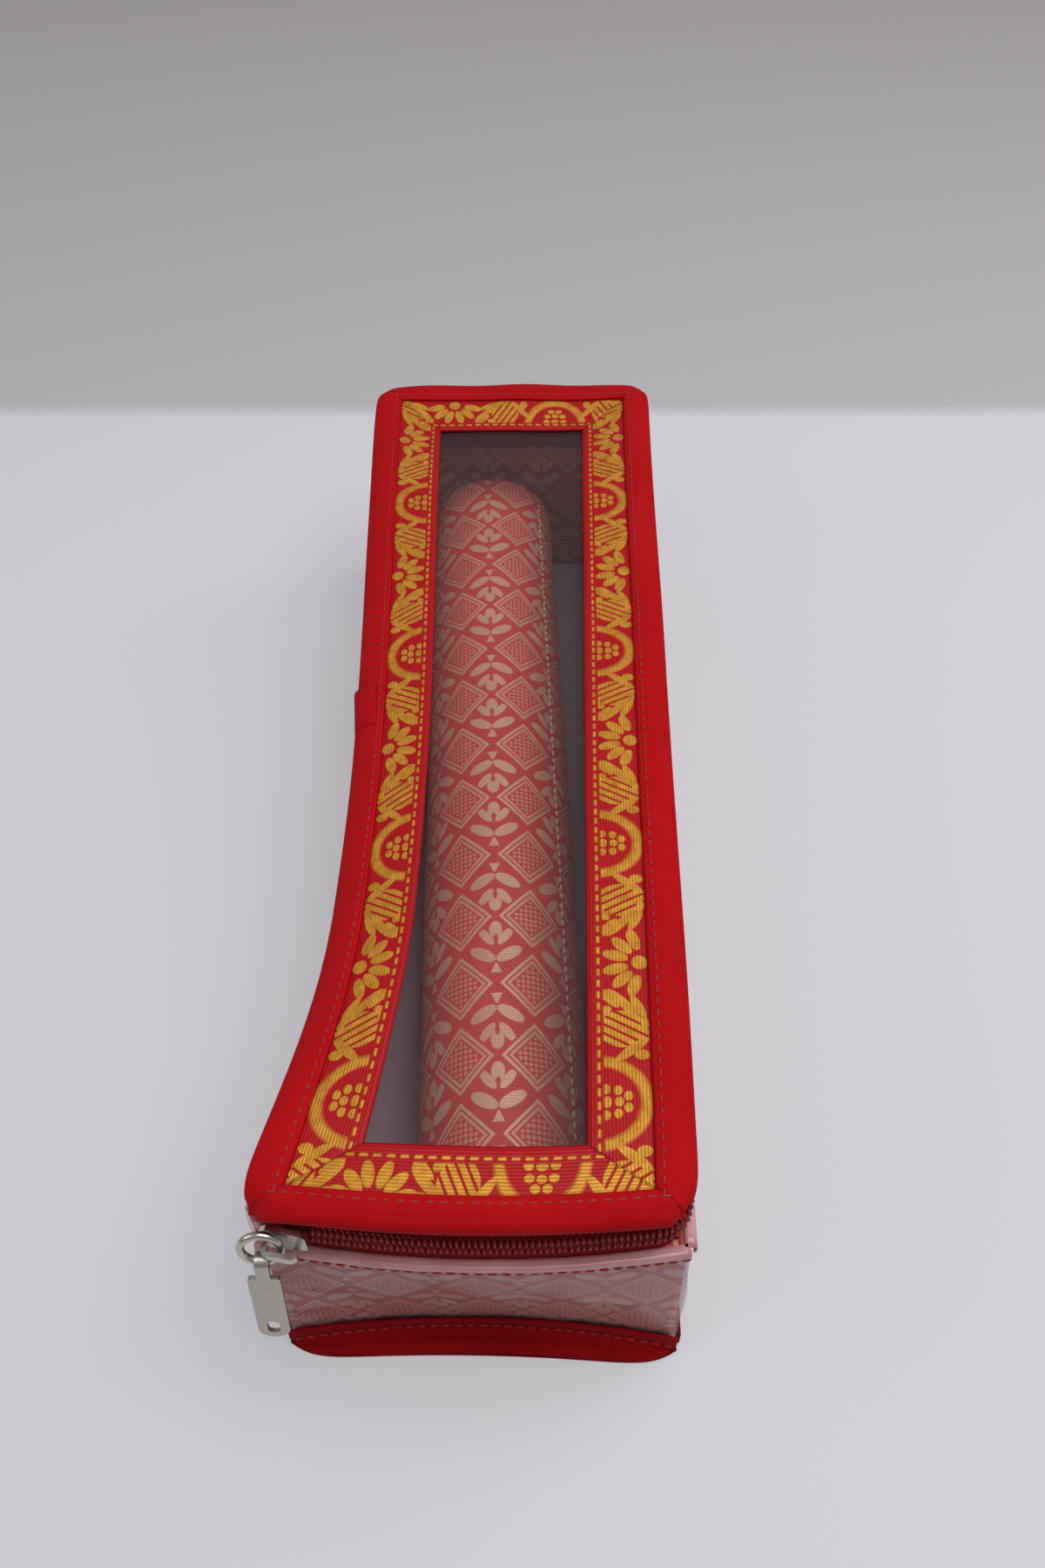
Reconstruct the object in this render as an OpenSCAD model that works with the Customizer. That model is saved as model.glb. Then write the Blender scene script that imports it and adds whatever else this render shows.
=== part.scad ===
// Brocade bangle box: a long fabric case with a clear-windowed lid, a zip round
// three sides and a loose padded rod inside that the bangles are threaded on.
// Length runs along Y, the front (where the zip closes) faces -Y, height is Z.
// The origin is the middle of the underside.

/* [Case] */
// Width of the case over its side walls
case_w = 93; // [80:1:130]
// Length of the case over its end walls
case_l = 298; // [220:1:360]
// Thickness of the outer cloth under the base
cover_t = 0.8; // [0.5:0.1:1.5]
// Thickness of the base board
board_t = 1.8; // [1.2:0.1:3]
// Thickness of the white lining card on the floor
lining_t = 0.6; // [0.4:0.1:1.2]
// Height of the walls on the three zipped sides, above the base
wall_h = 54; // [40:1:80]
// Thickness of a cloth wall over its stiffener
wall_t = 2.2; // [1.6:0.1:3]
// Thickness of the clear film
film_t = 0.4; // [0.3:0.1:0.8]
// How far the foot of the front wall is drawn in at its middle
foot_draw = 4.5; // [0:0.5:6]
// How far the zip line bellies out at the middle of the front
front_belly = 4.2; // [2:0.2:6]
// How far the top of the front wall leans in at its corners
front_lean = 1.2; // [0:0.2:3]
// How far the hinged long side is pushed in at its deepest
left_dent = 10; // [0:0.5:12]
// Where along the length the dent is deepest
dent_y = -70; // [-80:5:0]

/* [Bindings] */
// Width of the lid binding on the lid's top, long sides and far end
binding_w = 8.5; // [6:0.5:11]
// Width of the lid binding on the lid's top, front end
binding_front_w = 7; // [5:0.5:11]
// Thickness of one layer of binding
binding_t = 0.8; // [0.6:0.1:1.2]
// How far the base binding stands out from the front wall's corners
flange_front = 6; // [3:0.5:9]
// How far the base binding stands out at the far end
flange_back = 3; // [2:0.5:8]
// How far the base binding stands out along the sides
flange_side = 1.4; // [1.2:0.1:4]
// How far the base binding climbs the walls
foot_leg = 5.5; // [3:0.5:10]
// Height of the stitched hem round the top of the walls
hem_h = 4; // [3:0.5:7]
// Length of the overlap where the lid binding's two ends are joined
join_l = 14; // [8:1:25]
// Where the overlap lies along the hinged side
join_y = -4; // [-20:1:20]
// Height of the cotton tape that hinges the lid, on the wall
hinge_tape_h = 10; // [6:1:14]

/* [Lid] */
// How far the lid stands out past the case at the ends
lid_over_end = 1.5; // [1:0.1:3]
// How far the lid stands out past the case at the sides
lid_over_side = 0.5; // [0.4:0.1:2]
// Belly of the lid's front edge
lid_belly = 3; // [1:0.2:5]
// Width of the lace that shows beside the window, long sides and far end
lace_w = 14; // [10:0.5:16]
// Width of the lace that shows at the front end
lace_front_w = 9.5; // [7:0.5:16]
// Thickness of the woven lace
lace_t = 0.8; // [0.5:0.1:1.2]

/* [Zip] */
// Bare tape from the wall's top to the chain
tape_low = 6.2; // [4:0.2:10]
// Bare tape from the chain to the lid
tape_high = 7.7; // [5:0.2:12]
// Thickness of the tape
tape_t = 0.5; // [0.4:0.1:0.8]
// Height of one row of the coil
coil_h = 2.9; // [2:0.1:3.6]
// How far the coil stands out from the tape
coil_d = 2; // [1.4:0.1:2.6]
// Gap between the two rows
coil_gap = 0.8; // [0.7:0.1:1.4]
// Distance from one turn of the coil to the next
coil_pitch = 1.3; // [1.2:0.1:2.6]
// Radius of the zip's turn at the case's corners
zip_corner_r = 7; // [4:1:14]

/* [Slider] */
// Length of the slider along the zip
slider_l = 10; // [8:0.5:13]
// Height of the slider at its wide end
slider_w = 8.8; // [8:0.2:11]
// Thickness of each slider plate
plate_t = 1.2; // [0.8:0.1:1.6]
// Running gap between the slider and the chain
slider_gap = 0.35; // [0.3:0.05:0.6]
// Place of the closed slider, as a distance from the case's middle
slider_x = 38.5; // [30:0.5:41]
// Inner height of the bridge that the ring hangs in
bridge_in = 3; // [2.8:0.1:4]
// Width of the bridge
bridge_w = 2.2; // [1.6:0.1:3]

/* [Pull] */
// Diameter of the wire of the ring
link_d = 1.8; // [1.4:0.1:2]
// Radius of the ring, to the middle of its wire
link_r = 4.3; // [3.8:0.1:5]
// Angle by which the foot of the ring stands forward
link_tilt = 14; // [0:1:16]
// Angle by which the ring stands off the slider
link_turn = 12; // [11:1:60]
// Width of the pull plate
tab_w = 7; // [5:0.2:9]
// Length of the pull plate below its eye
tab_l = 27; // [18:1:34]
// Thickness of the pull plate
tab_t = 1; // [0.8:0.1:1.6]
// Angle by which the plate leans out at rest
tab_lean = 6; // [0:1:20]
// Width of the eye at the top of the plate
eye_w = 3; // [2:0.2:4]

/* [Rod] */
// Diameter of the rod over its cloth
rod_d = 44; // [34:1:45]
// Length of the rod over its ends
rod_l = 272; // [200:1:276]
// Thickness of the cloth on the rod
rod_cloth = 1.1; // [0.8:0.1:2]
// Wall of the cardboard tube
tube_t = 2.4; // [1.5:0.1:4]
// Angle at which the loose rod lies in the case
rod_skew = 3.1; // [0:0.1:3.5]
// Place of the rod's middle across the case
rod_x = -1.5; // [-3:0.5:1]
// Place of the rod's middle along the case
rod_y = 7; // [-5:1:7]
// Gap under the rod
rod_gap = 0.3; // [0.3:0.1:0.6]

/* [Hidden] */

$fn = 64;
hw = case_w / 2;
hl = case_l / 2;
base_t = cover_t + board_t;
floor_z = base_t + lining_t;
wall_top = base_t + wall_h;
chain_low = wall_top + tape_low;
chain_z = chain_low + coil_h + coil_gap / 2;
chain_high = chain_z + coil_gap / 2 + coil_h;
lid_z = chain_high + tape_high;
lid_gap = 0.2;
left_top = lid_z - lid_gap;
left_h = left_top - base_t;
corner_gap = 0.3;
lay_gap = 0.1;
hem_fold = 0.3;
lid_t = 2 * binding_t + film_t + lace_t;
lid_top = lid_z + lid_t + 0.2;
lid_hw = hw + lid_over_side;
lid_hl = hl + lid_over_end;
steps = 16;
lid_steps = 28;

// The zip line on the front is an arc, so the slider turns about its centre.
band_y = hl - front_lean - wall_t / 2;
arc_r = hw * hw / (2 * front_belly);
arc_y = arc_r - band_y - front_belly;
band_x = hw - wall_t / 2;
slider_turn = -asin(slider_x / arc_r);

cotton = "#B5161B";
brocade = "#A4303A";
gold = "#C8952A";
tape_red = "#8E1018";
clear = [0.9, 0.88, 0.92, 0.35];
nickel = "#C9C6C0";
card = "#D9D6D2";

function lerp(a, b, t) = a + (b - a) * t;
function arch(x) = 1 - pow(x / hw, 2);
function dent(y) =
    let (u = y > dent_y ? (y - dent_y) / (hl - dent_y) : (dent_y - y) / (hl + dent_y))
    left_dent * pow(cos(90 * min(u, 1)), y > dent_y ? 1.5 : 1.1);
function flip(p) = [for (i = [len(p) - 1 : -1 : 0]) p[i]];

// A point of a wall's outer face, pushed out by d. t runs from one end to the other.
function front_y(x, z) = let (s = (z - base_t) / wall_h)
    hl - front_lean * s + lerp(-foot_draw, front_belly, s) * arch(x);
function side_y(t, z, e) = lerp(-hl + front_lean * min((z - base_t) / wall_h, 1) + e, hl - e, t);
function across(t, d) = lerp(-hw, hw, t) + (t == 0 ? -max(d, 0) : t == 1 ? max(d, 0) : 0);
function on_wall(side, t, z, d, e) =
    side == "front" ? let (x = across(t, d)) [x, -front_y(x, z) - d, z] :
    side == "right" ? [hw + d, side_y(t, z, e), z] :
    side == "back" ? [-across(t, d), hl + d, z] :
    let (y = side_y(1 - t, z, e)) [-hw - d + dent(y) * (z - base_t) / left_h, y, z];

// A strip on a wall, from height z0 to z1 and from depth d0 out to d1. The side
// strips stop short of the end walls, or of the layers outside them.
module wall_strip(side, z0, z1, d0, d1) {
    n = side == "front" ? steps : side == "left" ? lid_steps : 1;
    inset = corner_gap + (d0 < 0 || side == "left" ? wall_t : 0);
    ring = [[z0, d0], [z0, d1], [z1, d1], [z1, d0]];
    pts = [for (i = [0 : n], q = ring) on_wall(side, i / n, q[0], q[1], inset)];
    sides = [for (i = [0 : 4 : 4 * n - 4], k = [0 : 3], h = [0, 1])
        let (a = i + k, b = i + (k + 1) % 4, up = k < 2)
        h == 0 ? [a, b, up ? b + 4 : a + 4] : [up ? a : b, b + 4, a + 4]];
    polyhedron(pts, concat([[2, 1, 0], [3, 2, 0]], sides,
        [[4 * n, 4 * n + 1, 4 * n + 2], [4 * n, 4 * n + 2, 4 * n + 3]]));
}

// The outline of the base, drawn in by d all round.
function base_outline(d) = concat(
    [for (i = [0 : steps]) let (x = lerp(-hw, hw, i / steps))
        [x * (hw - d) / hw, -front_y(x, base_t) + d]],
    [[hw - d, hl - d], [-hw + d, hl - d]]);

module base_cover() {
    color(brocade) linear_extrude(cover_t) polygon(base_outline(0));
}

module base_board() {
    color(card) translate([0, 0, cover_t]) linear_extrude(board_t) polygon(base_outline(0));
}

module base_lining() {
    color("white") translate([0, 0, base_t]) linear_extrude(lining_t)
        polygon(base_outline(wall_t + corner_gap));
}

module wall(side) {
    color(brocade) wall_strip(side, base_t, side == "left" ? left_top : wall_top, -wall_t, 0);
}

module film(side) {
    color(clear) wall_strip(side, base_t, side == "left" ? left_top : wall_top, 0, film_t);
}

module top_hem(side) {
    color([0.85, 0.62, 0.66]) wall_strip(side, wall_top - hem_h, wall_top, film_t + lay_gap, 2 * film_t + hem_fold);
}

// The flange of the base binding in plan: straight sides, a full front with round ends.
function flange_y(x) = let (u = x / (hw + flange_side))
    hl - 1 + (flange_front + 1) * (1 - pow(abs(u), 8)) - foot_draw / 3 * (1 - u * u);
function flange_outline() = concat(
    [for (i = [-steps : steps]) let (x = (hw + flange_side) * sin(90 * i / steps)) [x, -flange_y(x)]],
    [[hw + flange_side, hl + flange_back], [-hw - flange_side, hl + flange_back]]);
mitre_reach = 9;
function box_corners(d) = [[-hw - d, -hl - d], [hw + d, -hl - d], [hw + d, hl + d], [-hw - d, hl + d]];
function quarter(side, c, o) =
    side == "front" ? [c[0], c[1], o[1], o[0]] :
    side == "right" ? [c[1], c[2], o[2], o[1]] :
    side == "back" ? [c[2], c[3], o[3], o[2]] : [c[3], c[0], o[0], o[3]];

module base_binding(side) {
    color(cotton) {
        linear_extrude(base_t) intersection() {
            difference() {
                polygon(flange_outline());
                polygon(base_outline(0));
            }
            polygon(quarter(side, box_corners(-mitre_reach), box_corners(mitre_reach)));
        }
        wall_strip(side, base_t, base_t + foot_leg, film_t + lay_gap, film_t + lay_gap + binding_t);
    }
}

// The zip's line in plan: the front arc, a turned corner, the long side, a corner
// and the far end. Each point is [x, y, outward x, outward y].
front_run = band_x - zip_corner_r;
corner_top = arc_y - sqrt(arc_r * arc_r - front_run * front_run);
side_from = corner_top + zip_corner_r;
side_to = band_far() - zip_corner_r;
function band_far() = hl - wall_t / 2;
function arc_point(x) = [x, arc_y - sqrt(arc_r * arc_r - x * x), x / arc_r, -sqrt(1 - pow(x / arc_r, 2))];
function corner_point(cx, cy, a) = [cx + zip_corner_r * cos(a), cy + zip_corner_r * sin(a), cos(a), sin(a)];
tilt = asin(front_run / arc_r);
function front_line(x0, p) = concat(
    [for (x = [x0 : p : front_run - p / 2]) arc_point(x)],
    [for (i = [0 : 3]) corner_point(front_run, side_from, lerp(-90 + tilt, -45, i / 3))]);
function side_line(p) = concat(
    [for (i = [0 : 3]) corner_point(front_run, side_from, lerp(-45, 0, i / 3))],
    [for (y = [side_from + p : p : side_to - p / 2]) [band_x, y, 1, 0]],
    [for (i = [0 : 3]) corner_point(front_run, side_to, lerp(0, 45, i / 3))]);
function back_line(p) = concat(
    [for (i = [0 : 3]) corner_point(front_run, side_to, lerp(45, 90, i / 3))],
    [for (x = [front_run - p : -p : -band_x]) [x, band_far(), 0, 1]]);
function line_of(side, x0, p) =
    side == "front" ? front_line(x0, p) : side == "right" ? side_line(p) : back_line(p);
function pushed(line, d) = [for (q = line) [q[0] + d * q[2], q[1] + d * q[3]]];

module zip_tape(side, z0, z1, x0) {
    line = line_of(side, x0, 8);
    color(tape_red) translate([0, 0, z0]) linear_extrude(z1 - z0)
        polygon(concat(pushed(line, tape_t / 2), flip(pushed(line, -tape_t / 2))));
}

// One row of the coil: a toothed strip in plan, one tooth for each turn.
module zip_coil(side, z0, x0) {
    line = line_of(side, x0, coil_pitch / 2);
    root = tape_t / 2;
    comb = [for (i = [0 : len(line) - 1])
        let (q = line[i], d = i % 2 == 0 ? root + coil_d * 0.3 : root + coil_d)
        [q[0] + d * q[2], q[1] + d * q[3]]];
    color(tape_red) translate([0, 0, z0]) linear_extrude(coil_h)
        polygon(concat(comb, flip(pushed(line, root))));
}

// The lid's half starts past the parked slider, so the lid turns clear of it.
past_slider = -slider_x + slider_l / 2 + 1;

module zip_tape_lower(side) zip_tape(side, wall_top, chain_z - coil_gap, -band_x);
module zip_tape_upper(side) zip_tape(side, chain_z + coil_gap, lid_z, past_slider);
module zip_coil_lower(side) zip_coil(side, chain_low, -band_x + coil_pitch);
module zip_coil_upper(side) zip_coil(side, chain_z + coil_gap / 2, past_slider);

module hinge_tape() {
    color(cotton) wall_strip("left", left_top - hinge_tape_h, left_top,
        -wall_t - tape_t - corner_gap, -wall_t - corner_gap);
}

// The lid's outline, drawn in by s at the sides, f at the front and b at the far end.
function lid_outline(s, f, b) = concat(
    [for (i = [0 : lid_steps]) let (y = lerp(lid_hl - b, -lid_hl + f, i / lid_steps)) [-lid_hw + s + dent(y), y]],
    [for (i = [1 : steps]) let (x = lerp(-lid_hw + s, lid_hw - s, i / steps))
        [x, -lid_hl + f - lid_belly * (1 - pow(x / lid_hw, 2))]],
    [[lid_hw - s, lid_hl - b]]);
frame_side = binding_w + lace_w;
frame_front = binding_front_w + lace_front_w;
window_corner = [[-lid_hw + frame_side, -lid_hl + frame_front], [lid_hw - frame_side, -lid_hl + frame_front],
    [lid_hw - frame_side, lid_hl - frame_side], [-lid_hw + frame_side, lid_hl - frame_side]];
lid_corner = [[-lid_hw, -lid_hl], [lid_hw, -lid_hl], [lid_hw, lid_hl], [-lid_hw, lid_hl]];
function beyond(i, k) = window_corner[i] + (lid_corner[i] - window_corner[i]) * k;

// A part of the frame between two insets, cut at the mitres.
module frame_part(side, outer, inner) {
    intersection() {
        difference() {
            polygon(lid_outline(outer[0], outer[1], outer[2]));
            polygon(lid_outline(inner[0], inner[1], inner[2]));
        }
        polygon(quarter(side, [for (i = [0 : 3]) beyond(i, -0.5)], [for (i = [0 : 3]) beyond(i, 1.6)]));
    }
}

fold_in = [binding_t * 1.5, binding_t * 1.5, binding_t * 1.5];
bound_in = [binding_w, binding_front_w, binding_w];
window_in = [frame_side, frame_front, frame_side];
film_z = lid_z + binding_t;
lace_z = film_z + film_t;

module window_film() {
    color(clear) translate([0, 0, film_z]) linear_extrude(film_t)
        polygon(lid_outline(fold_in[0], fold_in[1], fold_in[2]));
}

module lace(side) {
    color(gold) translate([0, 0, lace_z]) linear_extrude(lace_t) frame_part(side, fold_in, window_in);
}

// The binding is folded round the lid's edge: a leaf under it, one over it and the fold.
module lid_binding(side) {
    color(cotton) translate([0, 0, lid_z]) {
        linear_extrude(binding_t) frame_part(side, [0, 0, 0], bound_in);
        linear_extrude(lid_top - lid_z) frame_part(side, [0, 0, 0], fold_in);
        translate([0, 0, lace_z + lace_t - lid_z]) linear_extrude(lid_top - lace_z - lace_t)
            frame_part(side, [0, 0, 0], bound_in);
    }
}

// The binding's end laps over its start, on the top and round the edge.
module binding_join() {
    y0 = join_y - join_l / 2;
    y1 = join_y + join_l / 2;
    ys = [y0, lerp(y0, y1, 0.5), y1];
    edge = [for (y = ys) [-lid_hw + dent(y) - lay_gap, y]];
    color(cotton) {
        translate([0, 0, lid_z]) linear_extrude(lid_top - lid_z)
            polygon(concat([for (q = edge) q - [binding_t * 0.75, 0]], flip(edge)));
        translate([0, 0, lid_top]) linear_extrude(binding_t * 0.75)
            polygon(concat([for (q = edge) q - [binding_t * 0.75, 0]], flip([for (q = edge) q + [binding_w, 0]])));
    }
}

// The slider is drawn at the middle of the front and turned to its place on the arc.
module at_slider() {
    translate([0, arc_y, 0]) rotate([0, 0, slider_turn]) translate([0, -arc_r, chain_z]) children();
}
front_face = tape_t / 2 + coil_d + slider_gap;
back_face = tape_t / 2 + slider_gap;

// A slider plate: two shoulders at the closing end, narrower where the chain comes out.
module slider_plate() {
    polygon([[-slider_l / 2 + 1.5, slider_w / 2], [-slider_l / 2, slider_w / 2 - 1.6],
        [-slider_l / 2, 0.9], [-slider_l / 2 + 0.9, 0], [-slider_l / 2, -0.9],
        [-slider_l / 2, -slider_w / 2 + 1.6], [-slider_l / 2 + 1.5, -slider_w / 2],
        [0.5, -slider_w / 2 + 0.2], [slider_l / 2 - 0.8, -slider_w / 2 + 0.9],
        [slider_l / 2, -slider_w / 2 + 1.8], [slider_l / 2, slider_w / 2 - 1.8],
        [slider_l / 2 - 0.8, slider_w / 2 - 0.9], [0.5, slider_w / 2 - 0.2]]);
}

module slider_body() {
    post_l = 3;
    post_h = coil_gap - 0.3;
    lip = 0.6;
    color(nickel) at_slider() {
        translate([0, -front_face, 0]) rotate([90, 0, 0]) linear_extrude(plate_t) slider_plate();
        translate([0, back_face + plate_t, 0]) rotate([90, 0, 0]) linear_extrude(plate_t) slider_plate();
        translate([-slider_l / 2 + 1, -front_face, -post_h / 2])
            cube([post_l, front_face + back_face, post_h]);
        for (s = [0, 1]) mirror([0, 0, s]) translate([-slider_l / 2 + 1.5, -front_face, -slider_w / 2 + 0.2])
            cube([slider_l / 2 - 1.2, front_face - tape_t / 2 - slider_gap, lip]);
    }
}

// The bridge: an arch over the front plate, open above and below for the link.
module slider_bridge() {
    half = slider_l / 2 - 1;
    bar = 1.1;
    color(nickel) at_slider() translate([0, -front_face - plate_t, -bridge_w / 2])
        linear_extrude(bridge_w) difference() {
            union() {
                translate([-half + 1.5, -bridge_in - bar]) square([2 * half - 3, bridge_in + bar]);
                translate([-half + 1.5, -bridge_in - bar + 1.5]) circle(1.5);
                translate([half - 1.5, -bridge_in - bar + 1.5]) circle(1.5);
                translate([-half, -bridge_in - bar + 1.5]) square([2 * half, bridge_in + bar - 1.5]);
            }
            translate([-half + bar, -bridge_in]) square([2 * (half - bar), bridge_in + 1]);
        }
}

// The ring stands in the bridge and is drawn about the point where it passes through.
link_y = -front_face - plate_t - bridge_in / 2;

module at_link() {
    at_slider() translate([0, link_y, 0]) rotate([-link_tilt, 0, 0]) rotate([0, 0, link_turn]) children();
}

module pull_link() {
    color(nickel) at_link() translate([-link_r, 0, 0]) rotate([90, 0, 0])
        rotate_extrude() translate([link_r, 0]) circle(link_d / 2);
}

// The pull plate hangs on the ring's foot by a rolled eye.
eye_gap = 0.35;
eye_t = 0.8;
eye_r = link_d / 2 + eye_gap + eye_t;
neck_l = eye_r + 2;
hole_r = 1.4;
hole_l = 2.4;

module pull_tab() {
    tip = -neck_l - tab_l + tab_w / 2;
    color(nickel) at_link() translate([-link_r, 0, -link_r]) rotate([link_tilt - tab_lean, 0, 0]) {
        difference() {
            union() {
                translate([-eye_w / 2, 0, 0]) rotate([0, 90, 0]) cylinder(h = eye_w, r = eye_r);
                translate([-eye_w / 2, -eye_r, -neck_l]) cube([eye_w, tab_t, neck_l]);
            }
            translate([-eye_w, 0, 0]) rotate([0, 90, 0]) cylinder(h = 2 * eye_w, r = eye_r - eye_t);
        }
        translate([0, -eye_r + tab_t, 0]) rotate([90, 0, 0]) linear_extrude(tab_t) difference() {
            union() {
                translate([-tab_w / 2, tip]) square([tab_w, tab_l - tab_w / 2 - 1]);
                translate([-tab_w / 2 + 1, -neck_l - 1]) square([tab_w - 2, 1]);
                for (s = [-1, 1]) translate([s * (tab_w / 2 - 1), -neck_l - 1]) circle(1);
                translate([0, tip]) circle(tab_w / 2);
            }
            for (k = [0, 1]) translate([0, tip + k * hole_l]) circle(hole_r);
            translate([-hole_r, tip]) square([2 * hole_r, hole_l]);
        }
    }
}

// The rod lies loose on the floor. It is drawn along Y and turned to the way it lies.
rod_r = rod_d / 2;
cap_t = 3;
cap_edge = 2;

module at_rod() {
    translate([rod_x, rod_y, floor_z + rod_gap + rod_r]) rotate([0, 0, rod_skew]) rotate([-90, 0, 0]) children();
}
body_l = rod_l - 2 * cap_t;

module rod_tube() {
    color("#8A6B4B") at_rod() difference() {
        cylinder(h = body_l, r = rod_r - rod_cloth, center = true);
        cylinder(h = body_l + 1, r = rod_r - rod_cloth - tube_t, center = true);
    }
}

module rod_cover() {
    color(brocade) at_rod() difference() {
        cylinder(h = body_l, r = rod_r, center = true);
        cylinder(h = body_l + 1, r = rod_r - rod_cloth, center = true);
    }
}

module rod_seam() {
    seam_a = 8;
    seam_r = 0.8;
    seam_gap = 0.05;
    color("#E3C9A8") at_rod() rotate([0, 0, -seam_a]) translate([rod_r + seam_gap, 0, -body_l / 2])
        linear_extrude(body_l) intersection() {
            circle(seam_r);
            translate([0, -seam_r]) square([seam_r, 2 * seam_r]);
        }
}

// A cloth-covered disc with a round edge, on the end of the tube.
module rod_cap(s) {
    color(brocade) at_rod() mirror([0, 0, s < 0 ? 1 : 0]) translate([0, 0, body_l / 2])
        rotate_extrude() {
            square([rod_r, cap_t - cap_edge]);
            square([rod_r - cap_edge, cap_t]);
            translate([rod_r - cap_edge, cap_t - cap_edge]) intersection() {
                circle(cap_edge);
                square(cap_edge);
            }
        }
}

base_cover();
base_board();
base_lining();
wall("front");  // wall_front
wall("right");  // wall_right
wall("back");  // wall_back
wall("left");  // wall_left
film("front");  // film_front
film("right");  // film_right
film("back");  // film_back
film("left");  // film_left
base_binding("front");  // base_binding_front
base_binding("right");  // base_binding_right
base_binding("back");  // base_binding_back
base_binding("left");  // base_binding_left
top_hem("front");  // top_hem_front
top_hem("right");  // top_hem_right
top_hem("back");  // top_hem_back
zip_tape_lower("front");  // zip_tape_lower_front
zip_tape_lower("right");  // zip_tape_lower_right
zip_tape_lower("back");  // zip_tape_lower_back
zip_coil_lower("front");  // zip_coil_lower_front
zip_coil_lower("right");  // zip_coil_lower_right
zip_coil_lower("back");  // zip_coil_lower_back
hinge_tape();
window_film();
lace("front");  // lace_front
lace("right");  // lace_right
lace("back");  // lace_back
lace("left");  // lace_left
lid_binding("front");  // lid_binding_front
lid_binding("right");  // lid_binding_right
lid_binding("back");  // lid_binding_back
lid_binding("left");  // lid_binding_left
binding_join();
zip_tape_upper("front");  // zip_tape_upper_front
zip_tape_upper("right");  // zip_tape_upper_right
zip_tape_upper("back");  // zip_tape_upper_back
zip_coil_upper("front");  // zip_coil_upper_front
zip_coil_upper("right");  // zip_coil_upper_right
zip_coil_upper("back");  // zip_coil_upper_back
slider_body();
slider_bridge();
pull_link();
pull_tab();
rod_tube();
rod_cover();
rod_seam();
rod_cap(1);  // rod_cap_far
rod_cap(-1);  // rod_cap_near
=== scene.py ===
"""The looks of a brocade bangle box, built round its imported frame.

x runs to the right, y to the far end and z up."""
from math import asin, cos, exp, hypot, pi, radians, sin, sqrt, tau

import bpy
from mathutils import Matrix, Vector


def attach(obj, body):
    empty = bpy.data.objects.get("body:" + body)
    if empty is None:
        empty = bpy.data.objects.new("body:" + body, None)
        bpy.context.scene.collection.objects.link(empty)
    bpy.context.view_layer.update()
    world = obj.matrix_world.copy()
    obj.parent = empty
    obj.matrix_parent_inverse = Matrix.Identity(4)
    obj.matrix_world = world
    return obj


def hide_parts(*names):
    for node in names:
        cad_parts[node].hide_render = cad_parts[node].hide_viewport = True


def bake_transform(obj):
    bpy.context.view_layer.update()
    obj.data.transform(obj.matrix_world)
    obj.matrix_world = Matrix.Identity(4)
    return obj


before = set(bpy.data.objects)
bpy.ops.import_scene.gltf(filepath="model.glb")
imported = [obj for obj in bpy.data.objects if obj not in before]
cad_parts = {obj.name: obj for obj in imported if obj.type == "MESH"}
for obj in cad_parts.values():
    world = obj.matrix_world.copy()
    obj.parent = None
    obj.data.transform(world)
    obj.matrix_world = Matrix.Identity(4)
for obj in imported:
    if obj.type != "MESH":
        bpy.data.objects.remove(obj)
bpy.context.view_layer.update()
MM = 0.001
SIDES = ("front", "right", "back", "left")
ENDS = ("front", "back")

# The case, as the source has it
HALF_W = 46.5
HALF_L = 149.0
BASE = 2.6
FLOOR = 3.2
WALL_TOP = 56.6
LEFT_TOP = 76.9
WALL = 2.2
FOOT_DRAW = 4.5
BELLY = 4.2
LEAN = 1.2
DENT = 10.0
DENT_Y = -70.0

# How soft the dent's two ends are, and how far the hinged side sags in it, as the scene has it
DENT_FADE_FAR = 1.5
DENT_FADE_NEAR = 1.1
LEFT_DROP = 7.5

# The lid, as the source has it
LID_W = 47.0
LID_L = 150.5
LID_TOP = 80.1
BIND = 8.5
SIDE_FRAME = 22.5
FRONT_FRAME = 16.5
LID_BELLY = 3.0

# The zip and the rod, as the source has them
CHAIN_Z = 66.1
TAPE_T = 0.5
PITCH = 1.3
CORNER_R = 7.0
ROD_R = 22.0
ROD_L = 272.0
ROD_X = -1.5
ROD_Y = 7.0
ROD_SKEW = 3.1
ROD_GAP = 0.3
CAP = 3.0


def lerp(a, b, t):
    return a + (b - a) * t


def smooth(t):
    t = min(max(t, 0.0), 1.0)
    return t * t * (3 - 2 * t)


def shares(steps):
    """The shares of a way after each of so many even steps, from 0 to 1."""
    return [i / steps for i in range(steps + 1)]


def bell(distance, reach):
    """1 at no distance, falling softly to nearly nothing at twice the reach."""
    return exp(-(distance / reach) ** 2)


def dent_share(y):
    """How deep the hinged side is pushed in at y, from 0 to 1."""
    if y > DENT_Y:
        u = (y - DENT_Y) / (HALF_L - DENT_Y)
        return max(cos(pi / 2 * min(u, 1.0)), 0.0) ** DENT_FADE_FAR
    u = (DENT_Y - y) / (HALF_L + DENT_Y)
    return max(cos(pi / 2 * min(u, 1.0)), 0.0) ** DENT_FADE_NEAR


def ripple(a, b, seed=0.0):
    """An unevenness between -1 and 1, the same each time: two waves that share no step, so that
    nothing seems to repeat."""
    first = sin(a * 1.7 + seed) * cos(b * 2.3 + seed * 2.1)
    second = sin(a * 0.61 - b * 1.13 + seed * 3.7)
    return 0.5 * first + 0.5 * second


# Colours, nodes and patterns


def colour(text):
    """An sRGB hex value as linear light."""
    parts = [int(text[i:i + 2], 16) / 255 for i in (1, 3, 5)]
    linear = [c / 12.92 if c <= 0.04045 else ((c + 0.055) / 1.055) ** 2.4 for c in parts]
    return (*linear, 1.0)


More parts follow.
